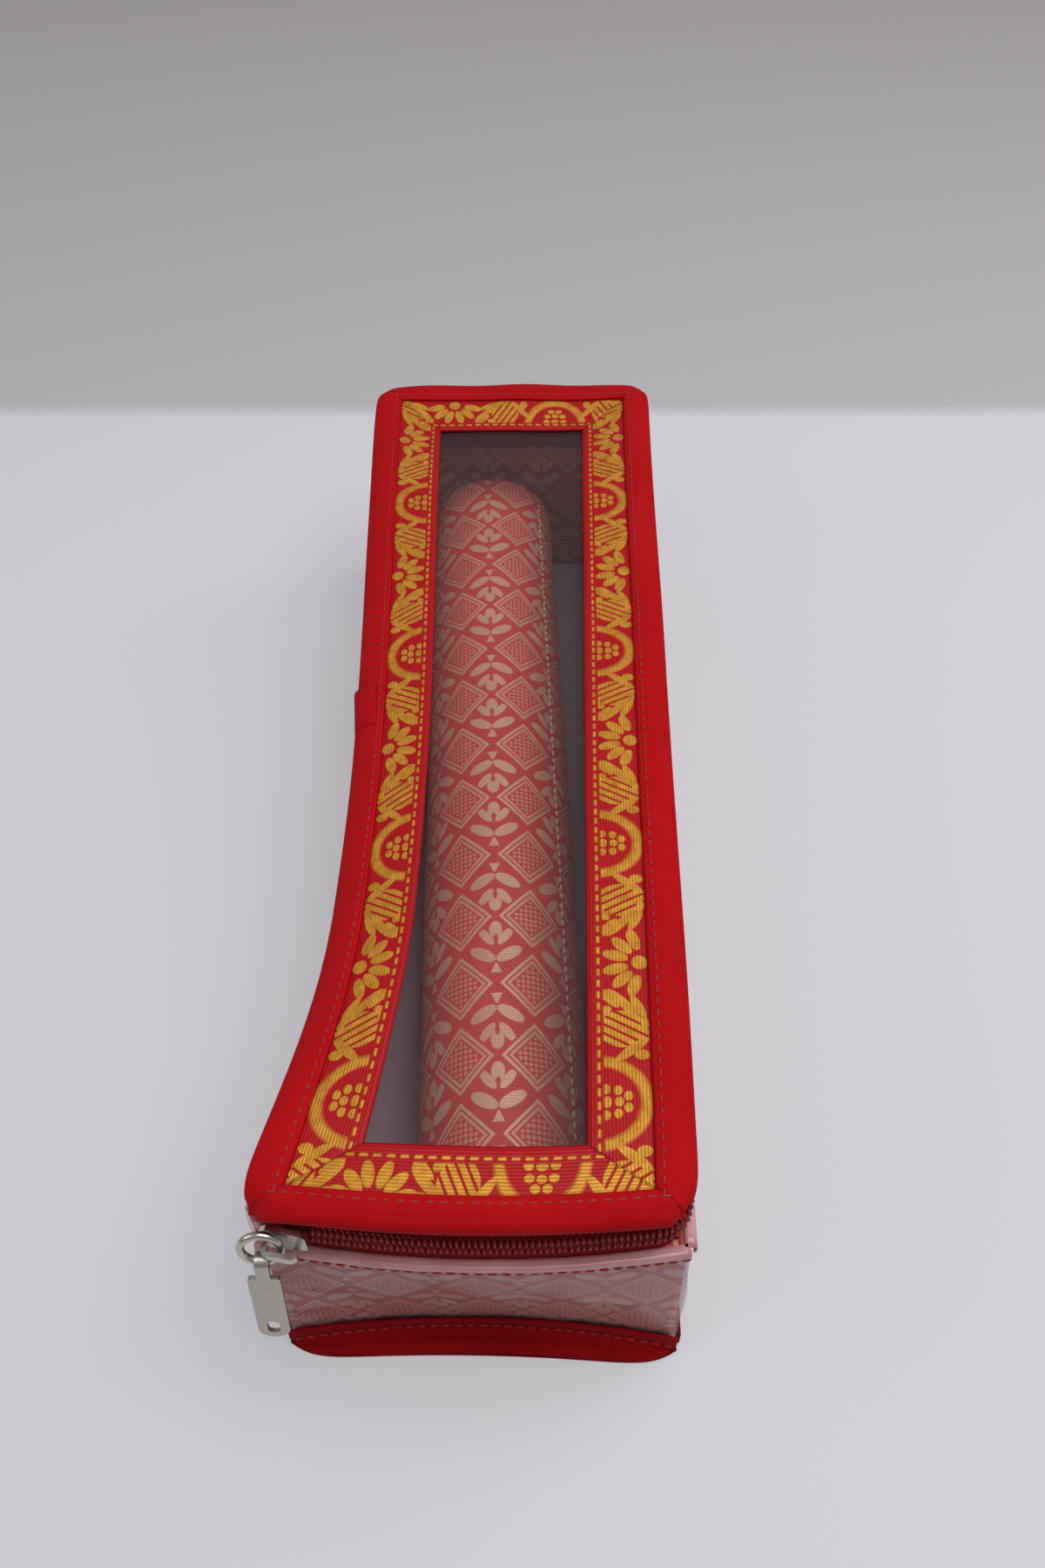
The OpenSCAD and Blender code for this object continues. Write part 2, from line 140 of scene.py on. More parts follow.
def give(tree, socket, value):
    """Links a socket or a Field to an input, or sets the input's own value."""
    value = value.socket if isinstance(value, Field) else value
    if isinstance(value, bpy.types.NodeSocket):
        tree.links.new(value, socket)
    else:
        socket.default_value = value


def connect(tree, node, **inputs):
    """Fills a node's inputs, named as on the node with _ for a space, or numbered i0, i1, ..."""
    for name, value in inputs.items():
        number = name[1:]
        key = int(number) if number.isdigit() else name.replace("_", " ")
        give(tree, node.inputs[key], value)


def add(tree, kind, settings=None, **inputs):
    """Adds one node with its settings and inputs."""
    node = tree.nodes.new(kind)
    for name, value in (settings or {}).items():
        setattr(node, name, value)
    connect(tree, node, **inputs)
    return node


class Field:
    """A number that varies over a surface, so that patterns are written as sums."""

    def __init__(self, tree, socket):
        self.tree = tree
        self.socket = socket

    def math(self, operation, *others):
        inputs = {f"i{k + 1}": other for k, other in enumerate(others)}
        node = add(self.tree, "ShaderNodeMath", {"operation": operation}, i0=self, **inputs)
        return Field(self.tree, node.outputs[0])

    def __add__(self, other):
        return self.math("ADD", other)

    def __sub__(self, other):
        return self.math("SUBTRACT", other)

    def __mul__(self, other):
        return self.math("MULTIPLY", other)

    def __truediv__(self, other):
        return self.math("DIVIDE", other)

    def cell(self):
        """Where the value lies in its cell, from -0.5 to 0.5."""
        return self.math("FRACT") - 0.5

    def size(self):
        return self.math("ABSOLUTE")

    def wave(self, length):
        """A sine wave of the given length, from -1 to 1."""
        return (self * (tau / length)).math("SINE")

    def clipped(self):
        return self.math("MINIMUM", 1.0).math("MAXIMUM", 0.0)

    def below(self, edge, soft):
        """1 where the value is under edge, 0 where it is over it, with a soft step."""
        return ((self * -1.0 + edge) / soft + 0.5).clipped()

    def either(self, other):
        return self.math("MAXIMUM", other)

    both = __mul__

    def absent(self):
        return self * -1.0 + 1.0


def ellipse(x, y, at, radii, turn=0, soft=0.25):
    """A filled ellipse of the given half sizes, turned by an angle in degrees."""
    c, s = cos(radians(turn)), sin(radians(turn))
    dx, dy = x - at[0], y - at[1]
    a = (dx * c + dy * s) / radii[0]
    b = (dy * c - dx * s) / radii[1]
    return (a * a + b * b).below(1.0, soft)


def ellipses(x, y, shapes):
    """Filled ellipses as one figure; each is its middle, its half sizes and its turn."""
    figure = ellipse(x, y, *shapes[0])
    for shape in shapes[1:]:
        figure = figure.either(ellipse(x, y, *shape))
    return figure


def ring(x, y, at, radii, width):
    """The outline of an ellipse."""
    a = (x - at[0]) / radii[0]
    b = (y - at[1]) / radii[1]
    from_line = ((a * a + b * b).math("SQRT") - 1.0).size()
    return from_line.below(width / min(radii) / 2, 0.1)


def new_material(name):
    material = bpy.data.materials.new(name)
    material.use_nodes = True
    tree = material.node_tree
    tree.nodes.clear()
    shader = add(tree, "ShaderNodeBsdfPrincipled")
    output = add(tree, "ShaderNodeOutputMaterial", Surface=shader.outputs[0])
    return material, tree, shader, output


def surface_mm(tree, source="UV"):
    """The piece's own coordinates in millimetres: UV maps hold millimetres, Object metres."""
    where = add(tree, "ShaderNodeTexCoord").outputs[source]
    parts = add(tree, "ShaderNodeSeparateXYZ", Vector=where).outputs
    scale = 1.0 if source == "UV" else 1 / MM
    return [Field(tree, part) * scale for part in parts]


def patches(tree, per_metre, detail=3.0):
    """Soft patches, so many to a metre of the piece's own space: 100 are 10 mm each."""
    where = add(tree, "ShaderNodeTexCoord").outputs["Object"]
    node = add(tree, "ShaderNodeTexNoise", Vector=where, Scale=per_metre, Detail=detail)
    return Field(tree, node.outputs[0])


def blend_colours(tree, factor, low, high):
    """A colour between two others, each a hex value or a socket."""
    node = add(tree, "ShaderNodeMix", {"data_type": "RGBA"}, Factor=factor)
    ends = [socket for socket in node.inputs if socket.type == "RGBA"]
    for socket, value in zip(ends, (low, high)):
        give(tree, socket, colour(value) if isinstance(value, str) else value)
    return [socket for socket in node.outputs if socket.type == "RGBA"][0]


def relief(tree, shader, height, distance, strength=0.6):
    """Lets a height of so many millimetres catch the light on a shader's surface."""
    node = add(tree, "ShaderNodeBump", Strength=strength, Distance=distance * MM, Height=height)
    connect(tree, shader, Normal=node.outputs[0])


# Materials

# Thread spacings. The real ones are 0.2 to 0.5 mm, too fine to show, so these are coarser
WEFT_PITCH = 0.62
COTTON_PITCH = 0.9
TWILL_PITCH = 0.9
YARN_PITCH = 0.75

# The brocade's figure. Diamonds and flowers take turns in cells of this size. A band is its
# distance from the cell's middle and its half width, in shares of a cell. An ellipse is its
# middle, half sizes and turn, in millimetres and degrees
CELL_W = 19.5
CELL_L = 21.0
OUTER_BAND = (0.425, 0.03)
INNER_BAND = (0.335, 0.028)
BAND_SOFT = 0.012
GRAINED = 0.27
GRAIN = tau / 44
PETALS = (
    ((0, 6.1), (1.75, 2.7), 0),
    ((-2.55, 4.0), (1.25, 3.2), 36),
    ((2.55, 4.0), (1.25, 3.2), -36),
)
HEART = ((0, 3.6), (0.5, 1.1))
LEAVES = (((-3.5, -1.5), (1.75, 3.9), 58), ((3.5, -1.5), (1.75, 3.9), -58))
STEM_TOP = -4.4
STEM_FOOT = -7.4
STEM_SOFT = 0.3


def diamond_figure(a, b):
    """Two outlines round a field of small grains."""
    edge = a.size().either(b.size())
    outer = (edge - OUTER_BAND[0]).size().below(OUTER_BAND[1], BAND_SOFT)
    inner = (edge - INNER_BAND[0]).size().below(INNER_BAND[1], BAND_SOFT)
    grains = (a.wave(GRAIN) * b.wave(GRAIN)).below(-0.1, 0.5).both(edge.below(GRAINED, 0.02))
    return outer.either(inner * 0.8).either(grains * 0.75)


def flower_figure(x, y):
    """Three petals with an open heart over two leaves and a stem that spreads downwards."""
    half_stem = (y * -0.42 - 1.6).math("MAXIMUM", 0.0)
    stem = x.size().below(half_stem, STEM_SOFT).both(y.below(STEM_TOP, STEM_SOFT))
    stem = stem.both((y * -1.0).below(-STEM_FOOT, STEM_SOFT))
    petals = ellipses(x, y, PETALS).both(ellipse(x, y, *HEART).absent())
    return petals.either(ellipses(x, y, LEAVES)).either(stem)


def brocade_cloth(name, ground, motif, metal, sheen):
    """Rayon brocade: a red satin ground, with a silver-beige weft floating in diamonds and
    flowers. The floats are dull metal, so they shine a little more than the ground."""
    material, tree, shader, _ = new_material(name)
    u, v, _ = surface_mm(tree)
    across, along = u / CELL_W + v / CELL_L, u / CELL_W - v / CELL_L
    a, b = across.cell(), along.cell()
    column = across.math("FLOOR") + along.math("FLOOR")
    row = across.math("FLOOR") - along.math("FLOOR")
    in_diamond = (column * 0.5).math("FRACT") * 2.0
    way_up = ((row * 0.25).math("FRACT").below(0.4, 0.05) * 2.0) - 1.0
    flower = flower_figure((a + b) * (CELL_W / 2), (a - b) * (CELL_L / 2) * way_up)
    figure = (in_diamond * diamond_figure(a, b)) + in_diamond.absent() * flower
    weft = v.wave(WEFT_PITCH) * 0.5 + 0.5
    worn = patches(tree, 70.0, 4.0)
    shown = figure.both(weft * 0.5 + 0.5).both(worn * 0.5 + 0.7).math("MINIMUM", 1.0)
    satin = blend_colours(tree, patches(tree, 25.0), *ground)
    lined = blend_colours(tree, weft.both(figure.absent()) * 0.16, satin, motif)
    connect(tree, shader, Base_Color=blend_colours(tree, shown, lined, motif),
            Roughness=shown * -0.2 + 0.6, Metallic=shown * metal, Sheen_Weight=sheen,
            Sheen_Roughness=0.4, Specular_IOR_Level=0.25)
    relief(tree, shader, figure * 0.7 + weft * 0.3, 0.18)
    return material


def cotton_tape(name, low, high, dip):
    """Dyed cotton bias tape: matt and softly woven, paler where it is worn, darker between
    its threads."""
    material, tree, shader, _ = new_material(name)
    x, y, z = surface_mm(tree, "Object")
    crossing = (x + z * 0.5).wave(COTTON_PITCH) + (y + z * 0.5).wave(COTTON_PITCH)
    weave = crossing * 0.25 + 0.5
    dyed = blend_colours(tree, patches(tree, 38.0, 4.0), low, high)
    connect(tree, shader, Base_Color=blend_colours(tree, weave * 0.25, dyed, dip),
            Roughness=0.85, Sheen_Weight=0.01, Specular_IOR_Level=0.08)
    relief(tree, shader, weave * 0.25 + patches(tree, 120.0, 2.0) * 0.9, 0.5, 0.5)
    return material


# The lace's figure, in millimetres and degrees. It is the same either way from each rosette
# and each arch. u runs inwards, from under the binding to the window's edge, and the tables
# give (u, distance along), from the arch's middle or, for the rosette's parts, from its own.
# LACE_START is how far the figure is shifted along each side
LACE_REPEAT = 70.0
LACE_WIDE = 15.5
LACE_START = 20
ARCH = ((13.5, 0), (11.0, 9.5), 2.2)
GRAPE_AT = ((8.6, 0.0), (8.8, 2.6), (11.2, 0.2), (11.4, 2.9), (6.6, 1.3))
GRAPES = tuple((at, (1.0, 1.15), 0) for at in GRAPE_AT)
BUD = ((7.4, 17.4), (5.9, 4.7), 0, 0.1)
BUD_STRIPE = 2.3
SPRAYS = (
    ((5.6, 12.2), (4.8, 1.15), -38),
    ((4.0, 23.2), (3.4, 1.1), 62),
    ((7.2, 24.0), (4.6, 1.15), 48),
    ((10.6, 25.4), (3.4, 1.1), 48),
    ((3.4, 11.0), (1.7, 1.3), 0),
    ((11.6, 21.8), (1.9, 1.2), -40),
    ((2.6, 18.8), (0.9, 1.7), 0),
)
ROSETTE_U = 2.6
ROSETTE_R = 6.6
ROSETTE_TURNS = (-72, -44, -16, 16, 44, 72)
ROSETTE_PETAL = (3.0, 1.45)
ROSETTE_HEART = ((3.4, 0), (1.9, 1.9), 0)
ROSETTE_LEAF = ((11.6, 8.8), (2.3, 1.3), 30)
SELVEDGE_U = 12.9
FIGURE_END_U = 11.9


def lace_figure(u, v):
    """Arches over grapes, striped buds, sprays and half rosettes, with a dashed selvedge along
    the window."""
    y = (v / LACE_REPEAT).cell() * LACE_REPEAT
    half = y.size()
    before = half - LACE_REPEAT / 2
    petals = []
    for turn in ROSETTE_TURNS:
        at = (ROSETTE_U + ROSETTE_R * cos(radians(turn)), ROSETTE_R * sin(radians(turn)))
        petals.append((at, ROSETTE_PETAL, turn))
    stripes = (half - u * 0.55).wave(BUD_STRIPE).below(0.62, 0.4)
    gold = ring(u, y, *ARCH).either(ellipses(u, half, GRAPES + SPRAYS))
    gold = gold.either(ellipse(u, half, *BUD).both(stripes))
    gold = gold.either(ellipses(u, before, petals))
    gold = gold.either(ellipses(u, before * -1.0, (ROSETTE_HEART, ROSETTE_LEAF)))
    dashes = v.wave(3.0).below(0.35, 0.5)
    selvedge = (u - SELVEDGE_U).size().below(0.42, 0.2).both(dashes)
    return gold.both(u.below(FIGURE_END_U, 0.3)).either(selvedge)


def zari_lace():
    """Woven zari trim: flat gold-wrapped yarn on red. The gold is brighter in small random patches, as
    painted glints.
    """
    material, tree, shader, _ = new_material("zari_lace")
    u, v, _ = surface_mm(tree)
    gold = lace_figure(u, v)
    yarn = u.wave(YARN_PITCH) * 0.5 + 0.5
    # Brighter gold in small random patches: painted glints.
    painted_glint = patches(tree, 450.0, 2.0)
    shown = gold.both(yarn * 0.5 + 0.5)
    tone = blend_colours(tree, painted_glint, "#9A6412", "#ECBA44")
    connect(tree, shader, Base_Color=blend_colours(tree, shown, "#A00A12", tone),
            Metallic=shown * 0.4, Roughness=painted_glint * 0.25 + 0.32, Specular_IOR_Level=0.2)
    relief(tree, shader, gold * 0.7 + yarn * 0.3, 0.35, 0.8)
    return material


def clear_film(name, veil, wrinkle, milky):
    """Soft PVC film: clear and glossy with a milky veil, and drawn wrinkles that break up its
    reflections. Only front faces reflect, because back faces would mirror the room too much."""
    material, tree, _, output = new_material(name)
    creases = patches(tree, 16.0, 3.0) + patches(tree, 60.0, 2.0) * 0.25
    drawn = add(tree, "ShaderNodeBump", Strength=0.5, Distance=wrinkle * MM, Height=creases).outputs[0]
    gloss = add(tree, "ShaderNodeBsdfGlossy", Roughness=0.12, Normal=drawn)
    milk = add(tree, "ShaderNodeBsdfDiffuse", Color=colour(milky))
    clear = add(tree, "ShaderNodeBsdfTransparent", Color=colour("#F8F7F9"))
    fresnel = Field(tree, add(tree, "ShaderNodeFresnel", IOR=1.5, Normal=drawn).outputs[0])
    inside = Field(tree, add(tree, "ShaderNodeNewGeometry").outputs["Backfacing"])
    shine = fresnel.both(inside.absent()) * 0.5
    haze = (patches(tree, 9.0, 2.0) * (veil * 1.4)) + veil * 0.3
    body = add(tree, "ShaderNodeMixShader", i0=haze, i1=clear.outputs[0], i2=milk.outputs[0])
    film = add(tree, "ShaderNodeMixShader", i0=shine, i1=body.outputs[0], i2=gloss.outputs[0])
    connect(tree, output, Surface=film.outputs[0])
    return material


def film_hem():
    """PVC film folded on itself: a smooth milky pink, where the red shows through two layers."""
    material, tree, shader, _ = new_material("pvc_hem")
    tone = blend_colours(tree, patches(tree, 90.0, 3.0), "#A05660", "#CFA0A4")
    connect(tree, shader, Base_Color=tone, Roughness=0.28)
    relief(tree, shader, patches(tree, 200.0, 2.0), 0.4)
    return material


def zip_tape_cloth():
    """Polyester zip tape: a fine twill, dark red, almost matt."""
    material, tree, shader, _ = new_material("polyester_zip_tape")
    x, y, z = surface_mm(tree, "Object")
    twill = (x + y + z * 2.0).wave(TWILL_PITCH) * 0.5 + 0.5
    tone = blend_colours(tree, twill, "#74040C", "#920814")
    connect(tree, shader, Base_Color=tone, Roughness=0.8, Specular_IOR_Level=0.2)
    relief(tree, shader, twill, 0.15)
    return material


def nylon_coil():
    """Drawn nylon monofilament, dyed dark red: smooth, with a soft light on each turn."""
    material, tree, shader, _ = new_material("nylon_coil")
    tone = blend_colours(tree, patches(tree, 300.0), "#6A0410", "#8C101C")
    connect(tree, shader, Base_Color=tone, Roughness=0.42, IOR=1.53, Specular_IOR_Level=0.3)
    return material


def nickel_plate(name, low, high, rough):
    """Nickel-plated zinc casting: bright grey, softly polished, with faint tumbling marks."""
    material, tree, shader, _ = new_material(name)
    marks = patches(tree, 500.0, 4.0)
    connect(tree, shader, Base_Color=blend_colours(tree, marks, low, high), Metallic=1.0,
            Roughness=marks * 0.15 + rough)
    relief(tree, shader, marks, 0.05, 0.3)
    return material


def sewing_thread(name, low, high):
    """Spun polyester sewing thread: matt, with an uneven shade."""
    material, tree, shader, _ = new_material(name)
    tone = blend_colours(tree, patches(tree, 900.0), low, high)
    connect(tree, shader, Base_Color=tone, Roughness=0.7)
    return material


def card(name, low, high, rough):
    """Pulp card: a nearly flat colour with faint fibres."""
    material, tree, shader, _ = new_material(name)
    fibres = patches(tree, 260.0, 5.0)
    connect(tree, shader, Base_Color=blend_colours(tree, fibres, low, high), Roughness=rough)
    relief(tree, shader, fibres, 0.1, 0.3)
    return material


BROCADE = brocade_cloth("brocade_walls", ("#A01A24", "#B42C34"), "#CCAC94", 0.1, 0.08)
ROD_BROCADE = brocade_cloth("brocade_rod", ("#C0101A", "#D4262E"), "#EECBA0", 0.35, 0.04)
COTTON = cotton_tape("cotton_bias_tape", "#9C060C", "#B40C13", "#700408")
# The foot's binding is the same cotton as the lid's, coloured darker here: painted shade, for the foot
# lies low in shade.
SHADED_FOOT_COTTON = cotton_tape("cotton_foot_tape_painted_shade", "#780408", "#90070D", "#560205")
LACE = zari_lace()
WINDOW = clear_film("pvc_window", 0.012, 0.9, "#E6DCE2")
FILM = clear_film("pvc_wall_film", 0.1, 1.6, "#E4B8B8")
HEM = film_hem()
TAPE = zip_tape_cloth()
COIL = nylon_coil()
NICKEL = nickel_plate("nickel_plate", "#B4B0A8", "#D4D0C8", 0.16)
TAB_NICKEL = nickel_plate("nickel_pull", "#A8A49C", "#C6C2B8", 0.28)
THREAD = sewing_thread("red_thread", "#7C0810", "#A0141C")
PALE_THREAD = sewing_thread("silver_thread", "#C8AC90", "#E4CCB0")
# The lining is pale card, coloured grey-mauve here: painted shade, for it lies in shade inside the box.
SHADED_LINING = card("lining_card_painted_shade", "#948088", "#A8949C", 0.7)
BOARD = card("grey_board", "#8C8478", "#A09888", 0.85)
TUBE = card("cardboard_tube", "#7A5C40", "#94765A", 0.85)


# Mesh building


def link_object(name, data):
    obj = bpy.data.objects.new(name, data)
    bpy.context.scene.collection.objects.link(obj)
    return obj


def mesh_object(name, points, faces, material, uvs=None):
    mesh = bpy.data.meshes.new(name)
    mesh.from_pydata([Vector(p) * MM for p in points], [], faces)
    if uvs:
        layer = mesh.uv_layers.new(name="UVMap")
        for loop in mesh.loops:
            layer.data[loop.index].uv = uvs[loop.vertex_index]
    mesh.shade_smooth()
    mesh.materials.append(material)
    return link_object(name, mesh)


def cloth_piece(name, point, nu, nv, thick, material, body=None, uv=None):
    """A closed sheet of cloth or film, in nu by nv steps. point(s, t) gives its outer face, and the
    inner one lies thick behind it. A piece without a body is left unattached."""
    outer = [[Vector(point(i / nu, j / nv)) for j in range(nv + 1)] for i in range(nu + 1)]
    points, uvs = [], []
    for depth in (0, thick):
        for i in range(nu + 1):
            for j in range(nv + 1):
                along = outer[min(i + 1, nu)][j] - outer[max(i - 1, 0)][j]
                across = outer[i][min(j + 1, nv)] - outer[i][max(j - 1, 0)]
                normal = along.cross(across).normalized()
                points.append(outer[i][j] - normal * depth)
                uvs.append(uv(i / nu, j / nv) if uv else (i / nu, j / nv))
    row = nv + 1
    size = (nu + 1) * row
    faces = []
    for i in range(nu):
        for j in range(nv):
            a = i * row + j
            faces.append((a, a + row, a + row + 1, a + 1))
            faces.append((a + size, a + 1 + size, a + row + 1 + size, a + row + size))
    rim = [i * row for i in range(nu)] + [nu * row + j for j in range(nv)]
    rim += [i * row + nv for i in range(nu, 0, -1)] + list(range(nv, 0, -1))
    for a, b in zip(rim, rim[1:] + rim[:1]):
        faces.append((a, a + size, b + size, b))
    obj = mesh_object(name, points, faces, material, uvs)
    if body:
        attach(obj, body)
    return obj


def cloth_sheet(obj, length):
    """Works out a piece's cut, its own area over its length in millimetres, and keeps nothing of it."""
    area = sum(face.area for face in obj.data.polygons) / 2
    area / (length * MM)
    length * MM


def row_tree(name, sizes, cover, make_copy):
    """A Geometry Nodes tree that lays the same copy at every pitch along a line. sizes are its
    named inputs, and cover is the input for the material."""
    tree = bpy.data.node_groups.new(name, "GeometryNodeTree")
    face = tree.interface
    face.new_socket("Line", in_out="INPUT", socket_type="NodeSocketGeometry")
    for label, value in sizes.items():
        socket = face.new_socket(label, in_out="INPUT", socket_type="NodeSocketFloat")
        socket.default_value = value * MM
    face.new_socket(cover, in_out="INPUT", socket_type="NodeSocketMaterial")
    face.new_socket("Row", in_out="OUTPUT", socket_type="NodeSocketGeometry")
    given = add(tree, "NodeGroupInput").outputs
    line = add(tree, "GeometryNodeMeshToCurve", Mesh=given["Line"])
    spots = add(tree, "GeometryNodeResampleCurve", {"mode": "LENGTH"}, Curve=line.outputs[0],
                Length=given["Pitch"])
    places = add(tree, "GeometryNodeCurveToPoints", {"mode": "EVALUATED"}, Curve=spots.outputs[0])
    copy, turn = make_copy(tree, given, places)
    copies = add(tree, "GeometryNodeInstanceOnPoints", Points=places.outputs[0], Instance=copy,
                 Rotation=turn)
    real = add(tree, "GeometryNodeRealizeInstances", Geometry=copies.outputs[0])
    smoothed = add(tree, "GeometryNodeSetShadeSmooth", Geometry=real.outputs[0])
    done = add(tree, "GeometryNodeSetMaterial", Geometry=smoothed.outputs[0], Material=given[cover])
    add(tree, "NodeGroupOutput", i0=done.outputs[0])
    return tree


def stitch(tree, given, places):
    """One stitch: a rounded grain of thread that lies along the line."""
    grain = add(tree, "GeometryNodeMeshUVSphere", Segments=8, Rings=6, Radius=1.0)
    size = add(tree, "ShaderNodeCombineXYZ", X=given["Radius"], Y=given["Radius"],
               Z=given["Half Length"])
    shaped = add(tree, "GeometryNodeTransform", Geometry=grain.outputs[0], Scale=size.outputs[0])
    return shaped.outputs[0], places.outputs["Rotation"]


def coil_turn(tree, given, places):
    """One turn of the coil: a flat, upright oval across the line, with rounded edges."""
    oval = add(tree, "GeometryNodeMeshUVSphere", Segments=10, Rings=7, Radius=1.0)
    size = add(tree, "ShaderNodeCombineXYZ", X=given["Half Depth"], Y=given["Half Height"],
               Z=given["Half Wire"])
    shaped = add(tree, "GeometryNodeTransform", Geometry=oval.outputs[0], Scale=size.outputs[0])
    aligned = add(tree, "FunctionNodeAlignRotationToVector", {"axis": "Z"},
                  Vector=places.outputs["Tangent"])
    upright = add(tree, "FunctionNodeAlignRotationToVector", {"axis": "Y", "pivot_axis": "Z"},
                  Rotation=aligned.outputs[0], Vector=(0.0, 0.0, 1.0))
    return shaped.outputs[0], upright.outputs[0]


STITCH_SIZES = {"Pitch": 3.0, "Half Length": 1.05, "Radius": 0.35}
COIL_SIZES = {"Pitch": PITCH, "Half Height": 1.35, "Half Depth": 0.95, "Half Wire": 0.42}
STITCHES = row_tree("stitch_row", STITCH_SIZES, "Thread", stitch)
COILS = row_tree("coil_row", COIL_SIZES, "Nylon", coil_turn)


def row_along(name, tree, line, body, slot, **values):
    """Runs a row tree over a line of points and keeps its result as a plain mesh."""
    mesh = bpy.data.meshes.new(name + "_line")
    mesh.from_pydata([Vector(p) * MM for p in line], [(i, i + 1) for i in range(len(line) - 1)], [])
    carrier = link_object(name + "_line", mesh)
    modifier = carrier.modifiers.new("row", "NODES")
    modifier.node_group = tree
    for item in tree.interface.items_tree:
        if item.in_out == "INPUT" and item.name in values:
            modifier[item.identifier] = values[item.name]
    bpy.context.view_layer.update()
    graph = bpy.context.evaluated_depsgraph_get()
    result = bpy.data.meshes.new_from_object(carrier.evaluated_get(graph))
    bpy.data.objects.remove(carrier)
    obj = link_object(name, result)
    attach(obj, body)
    return obj


# The case's walls, film and binding

# How far a layer may reach past a corner, and how uneven the plain walls are
CORNER_REACH = 0.8
WALL_RIPPLE = 0.35

# How far the hinged wall's top comes down at its near corner, and over what length
NEAR_DROP = 3.4
NEAR_DROP_REACH = 9

# The film: its thickness, its least gap to the wall, how far over the wall's foot it starts, how
# far it swells out and by how much that varies. At the front it is drawn into creases of some
# depth near its left end; the place and the reach are shares of the wall
FILM_T = 0.12
FILM_GAP = 0.15
FILM_START = 0.3
FILM_SWELL = 0.9
FILM_UNEVEN = 0.5
CREASE = 0.8
CREASE_AT = 0.06
CREASE_REACH = 0.05

# The hem: its thickness, how deep it is, how far over the wall it stands, the share of it that
# lies outside, how far it stands off the wall, its swell and how far in its other edge lies
HEM_T = 0.4
HEM_DEEP = 2.4
HEM_OVER = 0.45
HEM_OUTSIDE = 0.7
HEM_OFF = 1.5
HEM_SWELL = 0.4
HEM_INNER = -0.75

# The binding round the foot: the flange's reach on each side, its height over the table at its
# edge and at the least, its lift at the middle of the front and on the other sides, the leg's
# top and distance from the wall, the same for the fold between them, the share that is leg, and
# the thickness of the binding and of the strip under it
FLANGE = {"front": 6.0, "right": 1.3, "back": 3.0, "left": 1.3}
FLANGE_Z = 1.5
FLANGE_LEAST_Z = 0.9
FRONT_LIFT = 1.6
SIDE_LIFT = 0.2
LEG_TOP = BASE + 5.0
LEG_OFF = 1.75
FOOT_FOLD_Z = 3.2
FOOT_FOLD_OFF = 1.9
LEG_SHARE = 0.4
FOOT_COTTON_T = 0.8
UNDER_T = 0.35


def wall_point(side, t, z, d=0.0):
    """The outer face of a wall, pushed out by d; t runs anticlockwise seen from above."""
    up = (z - BASE) / (WALL_TOP - BASE)
    lean = LEAN * min(up, 1.0)
    wide = HALF_W + min(max(d, 0), CORNER_REACH)
    if side == "front":
        x = lerp(-wide, wide, t)
        belly = lerp(-FOOT_DRAW, BELLY, up) * (1 - (x / HALF_W) ** 2)
        return (x, -(HALF_L - LEAN * up + belly) - d, z)
    if side == "right":
        y = lerp(-HALF_L + lean, HALF_L, t)
        return (HALF_W + d + WALL_RIPPLE * ripple(y / 30, z / 20, 2), y, z)
    if side == "back":
        x = lerp(wide, -wide, t)
        return (x, HALF_L + d + WALL_RIPPLE * ripple(x / 20, z / 20, 5), z)
    y = lerp(HALF_L, -HALF_L + lean, t)
    share = (z - BASE) / (LEFT_TOP - BASE)
    drop = (LEFT_DROP * dent_share(y) + NEAR_DROP * bell(y + HALF_L, NEAR_DROP_REACH)) * share ** 3
    return (-HALF_W - d + DENT * dent_share(y) * share, y, z - drop)


def wall(side):
    """A cloth wall and the clear film that is drawn over it."""
    top = LEFT_TOP if side == "left" else WALL_TOP
    length = 2 * HALF_W if side in ENDS else 2 * HALF_L
    steps = 48 if side in ENDS else 120
    rows = 24

    def cloth_at(s, t):
        return wall_point(side, s, lerp(BASE, top, t))

    def pattern_at(s, t):
        return ((s - 0.5) * length, t * (top - BASE))

    def film_at(s, t):
        drawn = CREASE * bell(s - CREASE_AT, CREASE_REACH) if side == "front" else 0.0
        swell = FILM_SWELL + FILM_UNEVEN * ripple(s * 14, t * 4, 1) + drawn * sin(t * 22)
        gap = max(swell * sin(pi * t) ** 0.5, FILM_GAP) + FILM_GAP
        return wall_point(side, s, lerp(BASE + FILM_START, top, t), gap)

    cloth = cloth_piece(f"brocade_wall_{side}", cloth_at, steps, rows, WALL, BROCADE, "case", pattern_at)
    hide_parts(f"wall_{side}")
    film = cloth_piece(f"clear_film_{side}", film_at, steps, rows, FILM_T, FILM, "case")
    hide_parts(f"film_{side}")
    cloth_sheet(film, length)


def film_hem_piece(side):
    """The film's top edge, folded over the wall and stitched."""
    steps = 140 if side == "right" else 60
    rows = 10
    top = WALL_TOP + HEM_OVER

    def hem_at(s, t):
        swell = HEM_SWELL * sin(pi * min(t / HEM_OUTSIDE, 1.0))
        puff = HEM_OFF + swell + 0.12 * ripple(s * 30, t, 4)
        if t > HEM_OUTSIDE:
            k = (t - HEM_OUTSIDE) / (1 - HEM_OUTSIDE)
            return wall_point(side, s, top, lerp(puff, HEM_INNER, k))
        return wall_point(side, s, lerp(WALL_TOP - HEM_DEEP, top, t / HEM_OUTSIDE), puff)

    hem = cloth_piece(f"film_hem_{side}", hem_at, steps, rows, HEM_T, HEM, "case")
    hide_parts(f"top_hem_{side}")
    seam_z, seam_off = WALL_TOP - 2.5, 1.7
    line = [wall_point(side, lerp(0.01, 0.99, s), seam_z, seam_off) for s in shares(120)]
    row_along(f"hem_stitches_{side}", STITCHES, line, "case", "cotton", Thread=THREAD)


